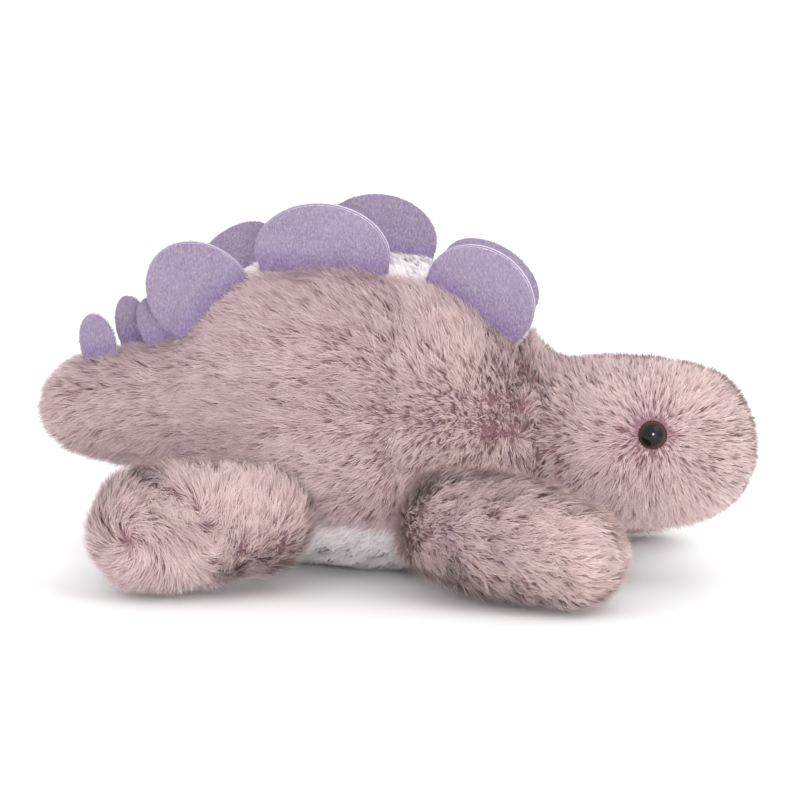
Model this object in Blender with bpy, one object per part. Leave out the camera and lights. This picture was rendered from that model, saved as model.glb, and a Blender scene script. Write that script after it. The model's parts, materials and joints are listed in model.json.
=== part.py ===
"""A lying plush stegosaurus: long-pile skin panels over stuffing, felt back plates and tail spikes.

+X points to the nose, +Z up, and the toy's own left side is +Y. The origin is on the floor,
under the middle of the toy. The outer faces of the skin panels are the tips of the pile.
"""

import math

import bmesh
import bpy
import numpy as np
from mathutils import Matrix, Vector

MM = 0.001

# Skin and seams
PILE_SKIN = 5.0 * MM
SEAM_GAP = 0.25 * MM
FILLING_INSET = PILE_SKIN + 1.3 * MM
TAPERED_FILLING_INSET = PILE_SKIN + 2.2 * MM
SQUARENESS = 2.3
SIDE_SEAM_X = 13.0 * MM
PANEL_COLUMNS = {"strip": 2, "right": 7, "under": 5, "left": 7}
FILLING_TIP = 0.3 * MM
SHARP_EDGE = math.radians(40)

# Cross-sections: x, lowest z, highest z, half width, half width low down, half width of the top strip
TORSO_SECTIONS = [
    (-90, 31, 101, 34.0, 34.0, 11),
    (-80, 23, 112, 40.5, 36.5, 14),
    (-69, 13, 122, 48.0, 37.0, 17),
    (-56, 4, 130, 54.0, 37.0, 19),
    (-40, -7, 133, 60.0, 37.0, 19),
    (-20, -7, 133.5, 62.0, 37.0, 19),
    (-2, -7, 131.5, 61.0, 37.0, 19),
    (13, -7, 129.5, 59.0, 37.0, 19),
    (27, -6.5, 124, 56.0, 37.0, 19),
    (42, 3, 114, 50.0, 37.0, 17),
    (56, 9, 102, 43.0, 37.0, 12),
    (67, 17, 93, 38.0, 38.0, 7),
]
HEAD_SECTIONS = [
    (67, 17, 93, 38.0, 38.0, 7),
    (80, 17.5, 94, 38.5, 38.5, 10),
    (94, 18.5, 95.3, 38.5, 38.5, 12),
    (108, 20, 95.5, 37.5, 37.5, 12),
    (122, 21.5, 93.5, 35.0, 35.0, 11),
    (134, 25, 89, 31.0, 31.0, 10),
    (143, 30.5, 81.5, 25.0, 25.0, 8),
    (149.5, 39, 71.5, 16.0, 16.0, 5.5),
    (152.5, 47.5, 62.5, 7.5, 7.5, 3),
    (153.3, 52.4, 58.0, 2.8, 2.8, 1.2),
]
TAIL_SECTIONS = [
    (-90, 31, 101, 34.0, 34.0, 11),
    (-101, 34, 95.5, 31.0, 31.0, 10),
    (-113, 37, 92, 27.5, 27.5, 9.5),
    (-125, 39.5, 90, 24.5, 24.5, 9),
    (-136, 42, 87, 21.5, 21.5, 8),
    (-145, 47, 81.5, 17.0, 17.0, 6.5),
    (-151, 54, 74, 10.0, 10.0, 4),
    (-153.3, 61, 66.6, 2.8, 2.8, 1.2),
]
# The sides narrow to the low half width between these heights
UNDERCUT_LOW = 48.0 * MM
UNDERCUT_HIGH = 64.0 * MM
# The underside's seam, as a share of the half width
UNDER_SEAM = 0.72

# Neck and tail joints: the torso's end is a ball that the neighbour turns around
NECK_CENTRE = Vector((39.3, 0.0, 55.0)) * MM
NECK_RADIUS = 47.0 * MM
TAIL_CENTRE = Vector((-65.0, 0.0, 66.0)) * MM
TAIL_RADIUS = 43.0 * MM
JOINT_GAP = 0.9 * MM
SWING_ROOM = math.radians(18)
# Where each body's end follows the ball, and where it starts to bend towards it
NECK_X = 67.0 * MM
NECK_FROM_TORSO = 56.0 * MM
NECK_FROM_HEAD = 80.0 * MM
TAIL_X = -90.0 * MM
TAIL_FROM_TORSO = -80.0 * MM
TAIL_FROM_TAIL = -101.0 * MM
CAP_SHARES = (0.35, 0.7)

# Legs: ball at the hip or shoulder, ball at the foot
HIP = Vector((-46.0, 61.5, 29.0)) * MM
HIP_RADIUS = 24.0 * MM
REAR_FOOT = Vector((-90.0, 77.0, 28.0)) * MM
REAR_FOOT_RADIUS = 28.0 * MM
SHOULDER = Vector((34.0, 62.5, 31.0)) * MM
SHOULDER_RADIUS = 25.0 * MM
FRONT_FOOT = Vector((87.0, 79.0, 24.5)) * MM
FRONT_FOOT_RADIUS = 24.5 * MM
LEG_TIP_RADIUS = 2.2 * MM
LEG_SEAM = math.radians(96)
ROOT_CAP_DEGREES = (145, 112)
LEG_RUN_SHARES = (0.06, 0.36, 0.68, 0.94)
FOOT_CAP_DEGREES = (66, 42, 20)
UPPER_COLUMNS = 8
SOLE_COLUMNS = 7

# Pellet bag lying on the belly panel
PELLET_CENTRE = Vector((-8.0, 0.0, 13.6)) * MM
PELLET_SIZE = Vector((36.0, 16.0, 4.7)) * MM
PELLET_TOP = 19.2 * MM
PELLET_REACH = (-50.0 * MM, 36.0 * MM)

# Eyes: a dome on a shank, held by a washer behind the skin
EYE_PLACE = Vector((113.6, 35.6, 67.0)) * MM
EYE_OUT = Vector((0.10, 0.98, 0.16)).normalized()
EYE_RADIUS = 6.0 * MM
EYE_HEIGHT = 4.2 * MM
EYE_SINK = 2.6 * MM
EYE_RIM = 0.5 * MM
EYE_BACK_SHARE = 0.94
DOME_STEPS = 6
SHANK_RADIUS = 1.7 * MM
SHANK_LENGTH = 11.0 * MM
WASHER_RADIUS = 6.5 * MM
WASHER_THICKNESS = 1.2 * MM
WASHER_DEPTH = 9.4 * MM
EYE_CLEARANCE = 0.4 * MM
WASHER_ROOM = 1.2 * MM
SHANK_ROOM = 1.5 * MM
SOCKET_ABOVE = 6.0 * MM
SOCKET_BELOW = PILE_SKIN + 6.0 * MM
POCKET_ABOVE = 2.0 * MM

# Felt: two layers in a plate, one thick layer in a spike
FELT_LAYER = 1.0 * MM
FELT_GAP = 0.3 * MM
SPIKE_THICKNESS = 2.0 * MM
FELT_LIFT = 1.0 * MM
OUTLINE_STEPS = 18
# name: base centre x and z, base slope, half width, height, height of the widest line, row, lean
PLATES = {
    "rear_right": (-76.0, 112.3, 40, 21.0, 29.7, 5.0, -19.0, 16),
    "middle_right": (-28.0, 130.9, 0, 28.5, 26.0, 6.0, -19.0, 16),
    "front_right": (35.6, 115.4, -34, 24.0, 26.2, 4.5, -18.0, 17),
    "rear_left": (-70.5, 117.8, 37, 21.5, 21.5, 6.5, 19.0, 40),
    "middle_left": (-12.5, 130.4, -3, 25.0, 22.3, 5.0, 19.0, 15),
    "front_left": (34.0, 117.4, -33, 22.0, 17.5, 3.5, 18.0, 44),
}
# name: base centre x and z, slope, half width, height, height of the widest line, row, lean
SPIKES = {
    "tip_right": (-125.5, 88.7, 10, 7.6, 15.0, 2.5, -7.5, 6),
    "tip_left": (-112.5, 91.9, 17, 7.6, 17.0, 2.5, 7.5, 6),
    "root_right": (-99.0, 96.1, 22, 7.4, 16.0, 2.5, -7.5, 4),
    "root_left": (-94.0, 99.0, 26, 6.0, 15.0, 2.0, 7.5, 4),
}

LILAC_PINK = (0.76, 0.64, 0.66)
PEACH_PINK = (0.82, 0.70, 0.68)
PALE_LILAC = (0.86, 0.83, 0.88)
LAVENDER = (0.67, 0.58, 0.78)
WHITE_FIBRE = (0.93, 0.93, 0.92)
LINEN = (0.84, 0.81, 0.74)
EYE_BLACK = (0.05, 0.03, 0.03)
WASHER_WHITE = (0.88, 0.88, 0.86)
CLOTH_ROUGHNESS = 0.9
FIBRE_ROUGHNESS = 1.0
EYE_ROUGHNESS = 0.08
WASHER_ROUGHNESS = 0.5


def clear_scene():
    for obj in list(bpy.data.objects):
        bpy.data.objects.remove(obj, do_unlink=True)


def linear(channel):
    """An sRGB channel as the linear value that a shader takes."""
    if channel <= 0.04045:
        return channel / 12.92
    return ((channel + 0.055) / 1.055) ** 2.4


def give_material(obj, colour, roughness):
    material = bpy.data.materials.new(obj.name)
    material.use_nodes = True
    shader = material.node_tree.nodes["Principled BSDF"]
    shader.inputs["Base Color"].default_value = (*map(linear, colour), 1.0)
    shader.inputs["Roughness"].default_value = roughness
    shader.inputs["Metallic"].default_value = 0.0
    material.diffuse_color = (*map(linear, colour), 1.0)
    obj.data.materials.clear()
    obj.data.materials.append(material)


def make_object(name, bm, colour, roughness=CLOTH_ROUGHNESS, origin=None, parent=None):
    """An object from a bmesh in world coordinates, with its origin on its joint."""
    bmesh.ops.remove_doubles(bm, verts=bm.verts, dist=1e-6)
    bmesh.ops.recalc_face_normals(bm, faces=bm.faces)
    if bm.calc_volume(signed=True) < 0:
        bmesh.ops.reverse_faces(bm, faces=bm.faces)
    origin = Vector(origin) if origin is not None else Vector()
    bmesh.ops.translate(bm, vec=-origin, verts=bm.verts)
    mesh = bpy.data.meshes.new(name)
    bm.to_mesh(mesh)
    bm.free()
    mesh.shade_smooth()
    mesh.set_sharp_from_angle(angle=SHARP_EDGE)
    obj = bpy.data.objects.new(name, mesh)
    bpy.context.scene.collection.objects.link(obj)
    obj.location = origin
    if parent is not None:
        obj.location = origin - parent.location
        obj.parent = parent
    give_material(obj, colour, roughness)
    return obj


def make_pivot(name, place):
    """The empty on a joint's axis that a moving body hangs from."""
    pivot = bpy.data.objects.new(name, None)
    pivot.empty_display_size = 0.01
    pivot.location = place
    bpy.context.scene.collection.objects.link(pivot)
    return pivot


# Skinned bodies: torso, head and tail


def table(sections):
    return np.array(sections, float) * MM


def read_table(rows, x):
    """The interpolated lowest z, highest z, half width, low half width and strip at x."""
    order = rows if rows[0, 0] < rows[-1, 0] else rows[::-1]
    return [np.interp(x, order[:, 0], order[:, k]) for k in range(1, 6)]


def signed_power(value, power):
    return math.copysign(abs(value) ** power, value)


def seam_angles(rows, x):
    """Angles from the top of the section to the strip's seam and to the underside's seam."""
    _, _, half_width, _, strip = read_table(rows, x)
    top = math.asin(min(1.0, (strip / half_width) ** (SQUARENESS / 2)))
    under = math.pi - math.asin(UNDER_SEAM ** (SQUARENESS / 2))
    return top, under


def ball_x(ball, y, z):
    """Where the joint ball's surface stands at this height and width."""
    centre, radius, side = ball
    rest = radius**2 - y**2 - (z - centre.z) ** 2
    return centre.x + side * math.sqrt(max(rest, 0.0))


def skin_point(body, x, angle, inset):
    """A point on the section at x, at an angle from the top towards -Y, inset from the pile tips."""
    rows = body["rows"]
    low, high, half_width, low_width, _ = read_table(rows, x)
    height = (high - low) / 2
    middle = (high + low) / 2
    if body["tapered"]:
        scale = 1 - inset / body["widest"]
        reach_y, reach_z = half_width * scale, height * scale
        start = rows[0, 0]
        x = start + (x - start) * (1 - inset / abs(rows[-1, 0] - start))
    else:
        reach_y, reach_z = half_width - inset, height - inset
    y = -reach_y * signed_power(math.sin(angle), 2 / SQUARENESS)
    z = middle + reach_z * signed_power(math.cos(angle), 2 / SQUARENESS)
    lift = min(1.0, max(0.0, (z - UNDERCUT_LOW) / (UNDERCUT_HIGH - UNDERCUT_LOW)))
    narrow = (low_width - inset) / (half_width - inset) if not body["tapered"] else 1.0
    y *= narrow + (1 - narrow) * lift * lift * (3 - 2 * lift)
    z = max(z, inset)
    for ball, edge, blend_from in body["balls"]:
        share = (x - blend_from) / (edge - blend_from)
        if share > 0:
            x += min(share, 1.0) * (ball_x(ball, y, z) - x)
    return keep_inside_balls(body, Vector((x, y, z)))


def keep_inside_balls(body, point):
    """Narrows the torso behind each joint ball, so that the neighbour can swing past it."""
    for (centre, radius, side), edge, _ in body["balls"]:
        if body["tapered"]:
            continue
        rim = math.acos(min(1.0, abs(edge - centre.x) / radius))
        reach = radius * math.cos(min(rim + SWING_ROOM, math.pi / 2))
        away = point - centre
        if side * away.x < reach or away.length < radius:
            continue
        if body["swing"][side] == "z":
            rest = radius**2 - away.x**2 - away.z**2
            if rest > 0:
                point.y = math.copysign(math.sqrt(rest), away.y)
        else:
            rest = radius**2 - away.x**2 - away.y**2
            if rest > 0:
                point.z = centre.z + math.copysign(math.sqrt(rest), away.z)
    return point


def panel_mesh(point, rows, columns):
    """A panel of skin: an outer and an inner grid of points, closed by its cut edges."""
    bm = bmesh.new()
    grids = []
    for inset in (0.0, PILE_SKIN):
        grids.append([[bm.verts.new(point(r, c, inset)) for c in columns] for r in rows])
    outer, inner = grids
    last_row, last_column = len(rows) - 1, len(columns) - 1
    for i in range(last_row):
        for j in range(last_column):
            for grid in grids:
                corners = (grid[i][j], grid[i + 1][j], grid[i + 1][j + 1], grid[i][j + 1])
                bm.faces.new(corners)
        for j in (0, last_column):
            bm.faces.new((outer[i][j], outer[i + 1][j], inner[i + 1][j], inner[i][j]))
    for j in range(last_column):
        for i in (0, last_row):
            bm.faces.new((outer[i][j], outer[i][j + 1], inner[i][j + 1], inner[i][j]))
    return bm


def filling_mesh(rings):
    """A closed solid through rings of points; a ring of one point is a pole."""
    bm = bmesh.new()
    made = [[bm.verts.new(p) for p in ring] for ring in rings]
    for near, far in zip(made, made[1:]):
        count = max(len(near), len(far))
        for k in range(count):
            after = (k + 1) % count
            if len(near) == 1:
                bm.faces.new((near[0], far[k], far[after]))
            elif len(far) == 1:
                bm.faces.new((near[k], near[after], far[0]))
            else:
                bm.faces.new((near[k], near[after], far[after], far[k]))
    return bm


def spread(start, end, count):
    return [start + (end - start) * k / count for k in range(count + 1)]


def panel_angle(body, x, panel, share, gap=True):
    """The angle of a point a share of the way across a panel, leaving the seam gap at its edges."""
    top, under = seam_angles(body["rows"], x)
    start, end = {
        "strip": (-top, top),
        "right": (top, under),
        "under": (under, 2 * math.pi - under),
        "left": (2 * math.pi - under, 2 * math.pi - top),
    }[panel]
    if gap:
        low, high, half_width, _, _ = read_table(body["rows"], x)
        margin = SEAM_GAP / min(half_width, (high - low) / 2)
        start, end = start + margin, end - margin
    return start + (end - start) * share


def body_panel(body, name, panel, xs, colour, pivot=None):
    def point(x, share, inset):
        return skin_point(body, x, panel_angle(body, x, panel, share), inset)

    columns = spread(0.0, 1.0, PANEL_COLUMNS[panel])
    bm = panel_mesh(point, xs, columns)
    return make_object(name, bm, colour, parent=pivot, origin=pivot and pivot.location)


def body_ring(body, x, inset):
    angles = []
    for panel, count in PANEL_COLUMNS.items():
        shares = spread(0.0, 1.0, count)[:-1]
        angles += [panel_angle(body, x, panel, share, gap=False) for share in shares]
    return [skin_point(body, x, angle, inset) for angle in angles]


def ball_cap(ball, ring, middle):
    """Rings that close a filling over the joint's ball, from its centre out to the ring."""
    rings = [[Vector((ball_x(ball, 0.0, middle), 0.0, middle))]]
    for share in CAP_SHARES:
        rings.append([])
        for p in ring:
            y, z = p.y * share, middle + (p.z - middle) * share
            rings[-1].append(Vector((ball_x(ball, y, z), y, z)))
    return rings


def stations(rows):
    return [row[0] for row in rows]


def tapered_end(body, ring):
    """The filling's last point, just past its last ring."""
    middle = sum(ring, Vector()) / len(ring)
    side = 1 if body["rows"][-1, 0] > 0 else -1
    return [middle + Vector((side * FILLING_TIP, 0, 0))]


def widest_half(sections):
    return max(section[3] for section in sections) * MM


TORSO = {
    "rows": table(TORSO_SECTIONS),
    "tapered": False,
    "swing": {1: "y", -1: "z"},
    "balls": [
        ((NECK_CENTRE, NECK_RADIUS, 1), NECK_X, NECK_FROM_TORSO),
        ((TAIL_CENTRE, TAIL_RADIUS, -1), TAIL_X, TAIL_FROM_TORSO),
    ],
}
HEAD = {
    "rows": table(HEAD_SECTIONS),
    "tapered": True,
    "widest": widest_half(HEAD_SECTIONS),
    "balls": [((NECK_CENTRE, NECK_RADIUS + JOINT_GAP, 1), NECK_X, NECK_FROM_HEAD)],
}
TAIL = {
    "rows": table(TAIL_SECTIONS),
    "tapered": True,
    "widest": widest_half(TAIL_SECTIONS),
    "balls": [((TAIL_CENTRE, TAIL_RADIUS + JOINT_GAP, -1), TAIL_X, TAIL_FROM_TAIL)],
}


def make_torso():
    xs = stations(TORSO["rows"])
    rear = [x for x in xs if x < SIDE_SEAM_X - SEAM_GAP] + [SIDE_SEAM_X - SEAM_GAP]
    front = [SIDE_SEAM_X + SEAM_GAP] + [x for x in xs if x > SIDE_SEAM_X + SEAM_GAP]
    for side in ("right", "left"):
        body_panel(TORSO, "rear_body_panel_" + side, side, rear, LILAC_PINK)
        body_panel(TORSO, "front_body_panel_" + side, side, front, LILAC_PINK)
    body_panel(TORSO, "back_strip", "strip", xs, PALE_LILAC)
    body_panel(TORSO, "belly_panel", "under", xs, PALE_LILAC)

    rings = []
    for x in xs:
        ring = body_ring(TORSO, x, FILLING_INSET)
        if PELLET_REACH[0] < x < PELLET_REACH[1]:
            for p in ring:
                p.z = max(p.z, PELLET_TOP)
        rings.append(ring)
    tail_ball, neck_ball = TORSO["balls"][1][0], TORSO["balls"][0][0]
    rings = ball_cap(tail_ball, rings[0], TAIL_CENTRE.z) + rings
    rings += ball_cap(neck_ball, rings[-1], NECK_CENTRE.z)[::-1]
    make_object("body_stuffing", filling_mesh(rings), WHITE_FIBRE, FIBRE_ROUGHNESS)
    make_pellet_bag()


def make_pellet_bag():
    bm = bmesh.new()
    bmesh.ops.create_uvsphere(bm, u_segments=16, v_segments=8, radius=1.0)
    size = Matrix.Diagonal((*PELLET_SIZE, 1.0))
    bmesh.ops.transform(bm, matrix=Matrix.Translation(PELLET_CENTRE) @ size, verts=bm.verts)
    make_object("pellet_bag", bm, LINEN)


def make_tapered_body(body, prefix, names, colours, pivot):
    xs = stations(body["rows"])
    for panel, name in names.items():
        body_panel(body, name, panel, xs, colours[panel], pivot)
    rings = [body_ring(body, x, TAPERED_FILLING_INSET) for x in xs]
    rings.append(tapered_end(body, rings[-1]))
    ball = body["balls"][0][0]
    rings = ball_cap(ball, rings[0], ball[0].z) + rings
    bm = filling_mesh(rings)
    bmesh.ops.triangulate(bm, faces=bm.faces)
    name = prefix + "_stuffing"
    return make_object(name, bm, WHITE_FIBRE, FIBRE_ROUGHNESS, parent=pivot, origin=pivot.location)


def mirror_y(vector, side):
    return Vector((vector.x, side * vector.y, vector.z))


def turned(profile, place, axis, segments=20):
    """A closed solid of revolution: profile rows are (radius, distance along the axis)."""
    rings = []
    for radius, along in profile:
        if radius == 0:
            rings.append([Vector((0, 0, along))])
            continue
        steps = [2 * math.pi * k / segments for k in range(segments)]
        rings.append([Vector((radius * math.cos(a), radius * math.sin(a), along)) for a in steps])
    bm = filling_mesh(rings)
    turn = Vector((0, 0, 1)).rotation_difference(axis).to_matrix().to_4x4()
    bmesh.ops.transform(bm, matrix=Matrix.Translation(place) @ turn, verts=bm.verts)
    return bm


def washer_mesh(place, axis, segments=16):
    """A flat ring with a hole, centred on the axis."""
    bm = bmesh.new()
    loops = []
    hole = SHANK_RADIUS + EYE_CLEARANCE
    half = WASHER_THICKNESS / 2
    for radius, along in ((hole, -half), (WASHER_RADIUS, -half), (WASHER_RADIUS, half), (hole, half)):
        steps = [2 * math.pi * k / segments for k in range(segments)]
        loops.append([bm.verts.new((radius * math.cos(a), radius * math.sin(a), along)) for a in steps])
    for k in range(4):
        near, far = loops[k], loops[(k + 1) % 4]
        for j in range(segments):
            after = (j + 1) % segments
            bm.faces.new((near[j], near[after], far[after], far[j]))
    turn = Vector((0, 0, 1)).rotation_difference(axis).to_matrix().to_4x4()
    bmesh.ops.transform(bm, matrix=Matrix.Translation(place) @ turn, verts=bm.verts)
    return bm


def cut(target, name, bm):
    """Cuts a hidden cutter out of the target."""
    cutter = make_object(name, bm, EYE_BLACK)
    cutter.hide_render = True
    cutter.display_type = "WIRE"
    boolean = target.modifiers.new(name, "BOOLEAN")
    boolean.operation = "DIFFERENCE"
    boolean.solver = "EXACT"
    boolean.object = cutter


def make_eye(side_name, side, panel, stuffing, pivot):
    place = mirror_y(EYE_PLACE, side)
    out = mirror_y(EYE_OUT, side)
    seat = -EYE_SINK
    dome = [(0.0, seat + EYE_HEIGHT)]
    for k in range(1, DOME_STEPS):
        a = math.pi / 2 * k / DOME_STEPS
        dome.append((EYE_RADIUS * math.sin(a), seat + EYE_HEIGHT * math.cos(a)))
    dome += [(EYE_RADIUS, seat), (EYE_RADIUS * EYE_BACK_SHARE, seat - EYE_RIM)]
    dome += [(SHANK_RADIUS, seat - EYE_RIM), (SHANK_RADIUS, seat - SHANK_LENGTH)]
    dome += [(0.0, seat - SHANK_LENGTH)]
    bm = turned(dome, place, out)
    origin = pivot.location
    make_object("eye_" + side_name, bm, EYE_BLACK, EYE_ROUGHNESS, parent=pivot, origin=origin)
    washer = washer_mesh(place - out * WASHER_DEPTH, out)
    washer_name = "eye_washer_" + side_name
    make_object(washer_name, washer, WASHER_WHITE, WASHER_ROUGHNESS, parent=pivot, origin=origin)

    room = EYE_RADIUS + EYE_CLEARANCE
    floor = seat - EYE_RIM - EYE_CLEARANCE
    hole = SHANK_RADIUS + EYE_CLEARANCE
    socket = [(0.0, SOCKET_ABOVE), (room, SOCKET_ABOVE), (room, floor)]
    socket += [(hole, floor), (hole, -SOCKET_BELOW), (0.0, -SOCKET_BELOW)]
    cut(panel, "eye_socket_cutter_" + side_name, turned(socket, place, out))
    wide = WASHER_RADIUS + WASHER_ROOM
    bottom = seat - SHANK_LENGTH - SHANK_ROOM
    pocket = [(0.0, POCKET_ABOVE), (wide, POCKET_ABOVE), (wide, bottom), (0.0, bottom)]
    cut(stuffing, "eye_pocket_cutter_" + side_name, turned(pocket, place, out))


def make_head():
    pivot = make_pivot("neck_pivot", NECK_CENTRE)
    names = {
        "strip": "head_gusset",
        "right": "head_panel_right",
        "left": "head_panel_left",
        "under": "chin_panel",
    }
    colours = {"strip": PEACH_PINK, "right": PEACH_PINK, "left": PEACH_PINK, "under": LILAC_PINK}
    stuffing = make_tapered_body(HEAD, "head", names, colours, pivot)
    for side_name, side in (("right", -1), ("left", 1)):
        panel = bpy.data.objects["head_panel_" + side_name]
        make_eye(side_name, side, panel, stuffing, pivot)


def make_tail():
    pivot = make_pivot("tail_pivot", TAIL_CENTRE)
    names = {
        "strip": "tail_top_strip",
        "right": "tail_panel_right",
        "left": "tail_panel_left",
        "under": "tail_under_panel",
    }
    colours = dict.fromkeys(names, LILAC_PINK)
    make_tapered_body(TAIL, "tail", names, colours, pivot)


# Legs


def leg_rings(root_radius, foot_radius):
    """Stations along a leg as (ball, angle or share): root cap, straight run, foot cap."""
    first = math.asin(LEG_TIP_RADIUS / root_radius)
    last = math.asin(LEG_TIP_RADIUS / foot_radius)
    rings = [("root", math.pi - first)]
    rings += [("root", math.radians(a)) for a in ROOT_CAP_DEGREES]
    rings += [("run", share) for share in LEG_RUN_SHARES]
    rings += [("foot", math.radians(a)) for a in FOOT_CAP_DEGREES]
    rings.append(("foot", last))
    return rings


def make_leg(name, root, foot, root_radius, foot_radius, side):
    root = mirror_y(root, side)
    foot = mirror_y(foot, side)
    pivot = make_pivot(name + "_pivot", root)
    run = foot - root
    length = math.hypot(run.x, run.y)
    along = Vector((run.x, run.y, 0)) / length
    across = along.cross(Vector((0, 0, 1)))

    def point(ring, angle, inset):
        kind, value = ring
        if kind == "root":
            radius = (root_radius - inset) * math.sin(value)
            travel = (root_radius - inset) * math.cos(value)
            height = root.z
        elif kind == "foot":
            radius = (foot_radius - inset) * math.sin(value)
            travel = length + (foot_radius - inset) * math.cos(value)
            height = foot.z
        else:
            radius = root_radius + (foot_radius - root_radius) * value - inset
            travel = length * value
            height = root.z + (foot.z - root.z) * value
        place = Vector((root.x, root.y, height)) + along * travel
        place += radius * (math.cos(angle) * Vector((0, 0, 1)) + math.sin(angle) * across)
        place.z = max(place.z, inset)
        return place

    rings = leg_rings(root_radius, foot_radius)

    def skin(ring, angle_share, inset):
        at_tip = ring in (rings[0], rings[-1])
        margin = SEAM_GAP / (LEG_TIP_RADIUS if at_tip else root_radius - PILE_SKIN)
        start, end, share = angle_share
        return point(ring, start + margin + (end - start - 2 * margin) * share, inset)

    upper = [(-LEG_SEAM, LEG_SEAM, share) for share in spread(0.0, 1.0, UPPER_COLUMNS)]
    under = [(LEG_SEAM, 2 * math.pi - LEG_SEAM, share) for share in spread(0.0, 1.0, SOLE_COLUMNS)]
    for part, columns in (("upper_panel", upper), ("sole_panel", under)):
        bm = panel_mesh(skin, rings, columns)
        colour = PEACH_PINK if part == "upper_panel" else LILAC_PINK
        make_object(f"{name}_{part}", bm, colour, parent=pivot, origin=root)

    angles = [a + (b - a) * s for a, b, s in upper[:-1] + under[:-1]]
    filling = [[point(ring, angle, FILLING_INSET) for angle in angles] for ring in rings]
    for end in (0, -1):
        middle = sum(filling[end], Vector()) / len(angles)
        outward = along * (FILLING_TIP if end else -FILLING_TIP)
        filling.insert(0 if end == 0 else len(filling), [middle + outward])
    bm = filling_mesh(filling)
    make_object(f"{name}_stuffing", bm, WHITE_FIBRE, FIBRE_ROUGHNESS, parent=pivot, origin=root)


def make_legs():
    for side_name, side in (("right", -1), ("left", 1)):
        make_leg("rear_leg_" + side_name, HIP, REAR_FOOT, HIP_RADIUS, REAR_FOOT_RADIUS, side)
        make_leg(
            "front_leg_" + side_name, SHOULDER, FRONT_FOOT, SHOULDER_RADIUS, FRONT_FOOT_RADIUS, side
        )


# Felt plates and spikes


def upright_frame(slope, row, lean):
    """Axes of a felt piece: along its base, up its height and through its thickness."""
    slope = math.radians(slope)
    lean = math.radians(lean)
    along = Vector((math.cos(slope), 0, math.sin(slope)))
    rise = Vector((-math.sin(slope), 0, math.cos(slope)))
    outward = Vector((0, math.copysign(1, row), 0))
    up = rise * math.cos(lean) + outward * math.sin(lean)
    return along, up, along.cross(up)


def felt_mesh(outline, base, frame, low, high):
    """A flat piece of felt from its outline, between two distances through its thickness."""
    along, up, through = frame
    bm = bmesh.new()
    sides = []
    for depth in (low, high):
        sides.append([bm.verts.new(base + along * a + up * b + through * depth) for a, b in outline])
    lower, upper = sides
    bm.faces.new(lower)
    bm.faces.new(upper[::-1])
    for k in range(len(outline)):
        after = (k + 1) % len(outline)
        bm.faces.new((lower[k], lower[after], upper[after], upper[k]))
    return bm


def felt_outline(half_width, height, widest):
    """An oval cut off by the base seam, widest a little above it."""
    rise = height - widest
    dip = math.asin(widest / rise)
    steps = spread(-dip, math.pi + dip, OUTLINE_STEPS)
    return [(half_width * math.cos(a), widest + rise * math.sin(a)) for a in steps]


def make_plates():
    for name, (x, z, slope, half_width, height, widest, row, lean) in PLATES.items():
        frame = upright_frame(slope, row, lean)
        base = Vector((x, row, z)) * MM + frame[1] * FELT_LIFT
        outline = felt_outline(half_width * MM, height * MM, widest * MM)
        pivot = make_pivot(f"plate_{name}_pivot", base)
        outer = math.copysign(1, row) * math.copysign(1, frame[2].y)
        for layer, start in (("inner", -1), ("outer", 1)):
            side = start * outer
            near, far = side * FELT_GAP / 2, side * (FELT_GAP / 2 + FELT_LAYER)
            bm = felt_mesh(outline, base, frame, near, far)
            make_object(f"plate_{name}_{layer}", bm, LAVENDER, parent=pivot, origin=base)


def make_spikes():
    for name, (x, z, slope, half_width, height, widest, row, lean) in SPIKES.items():
        frame = upright_frame(slope, row, lean)
        base = Vector((x, row, z)) * MM + frame[1] * FELT_LIFT
        outline = felt_outline(half_width * MM, height * MM, widest * MM)
        pivot = make_pivot(f"spike_{name}_pivot", base)
        half = SPIKE_THICKNESS / 2
        bm = felt_mesh(outline, base, frame, -half, half)
        make_object(f"spike_{name}", bm, LAVENDER, parent=pivot, origin=base)


clear_scene()
make_torso()
make_head()
make_tail()
make_legs()
make_plates()
make_spikes()
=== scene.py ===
"""Looks for the stuffed dinosaur: long-pile fur over stuffed skins, velour plates and glossy eyes."""
import json
import math

import bmesh
import bpy
import numpy as np
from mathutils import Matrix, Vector


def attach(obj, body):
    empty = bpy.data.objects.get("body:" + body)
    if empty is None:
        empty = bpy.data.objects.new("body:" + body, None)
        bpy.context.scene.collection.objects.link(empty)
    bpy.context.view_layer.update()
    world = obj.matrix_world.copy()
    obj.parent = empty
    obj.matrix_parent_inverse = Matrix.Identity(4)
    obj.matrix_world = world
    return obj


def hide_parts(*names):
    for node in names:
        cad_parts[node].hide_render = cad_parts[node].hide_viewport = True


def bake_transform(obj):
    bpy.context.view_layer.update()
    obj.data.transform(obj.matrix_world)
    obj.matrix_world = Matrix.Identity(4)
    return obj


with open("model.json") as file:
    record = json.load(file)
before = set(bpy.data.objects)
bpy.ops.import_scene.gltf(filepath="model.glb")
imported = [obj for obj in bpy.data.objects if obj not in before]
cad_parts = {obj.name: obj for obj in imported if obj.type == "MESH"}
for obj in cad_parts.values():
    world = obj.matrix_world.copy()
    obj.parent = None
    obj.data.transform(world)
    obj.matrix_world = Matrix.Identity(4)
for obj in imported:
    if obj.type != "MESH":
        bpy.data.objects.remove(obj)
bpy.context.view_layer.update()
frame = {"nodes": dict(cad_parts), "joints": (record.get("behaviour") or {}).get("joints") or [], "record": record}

MM = 0.001
DRAW = np.random.default_rng(41)
UP = np.array([0.0, 0.0, 1.0])

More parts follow.
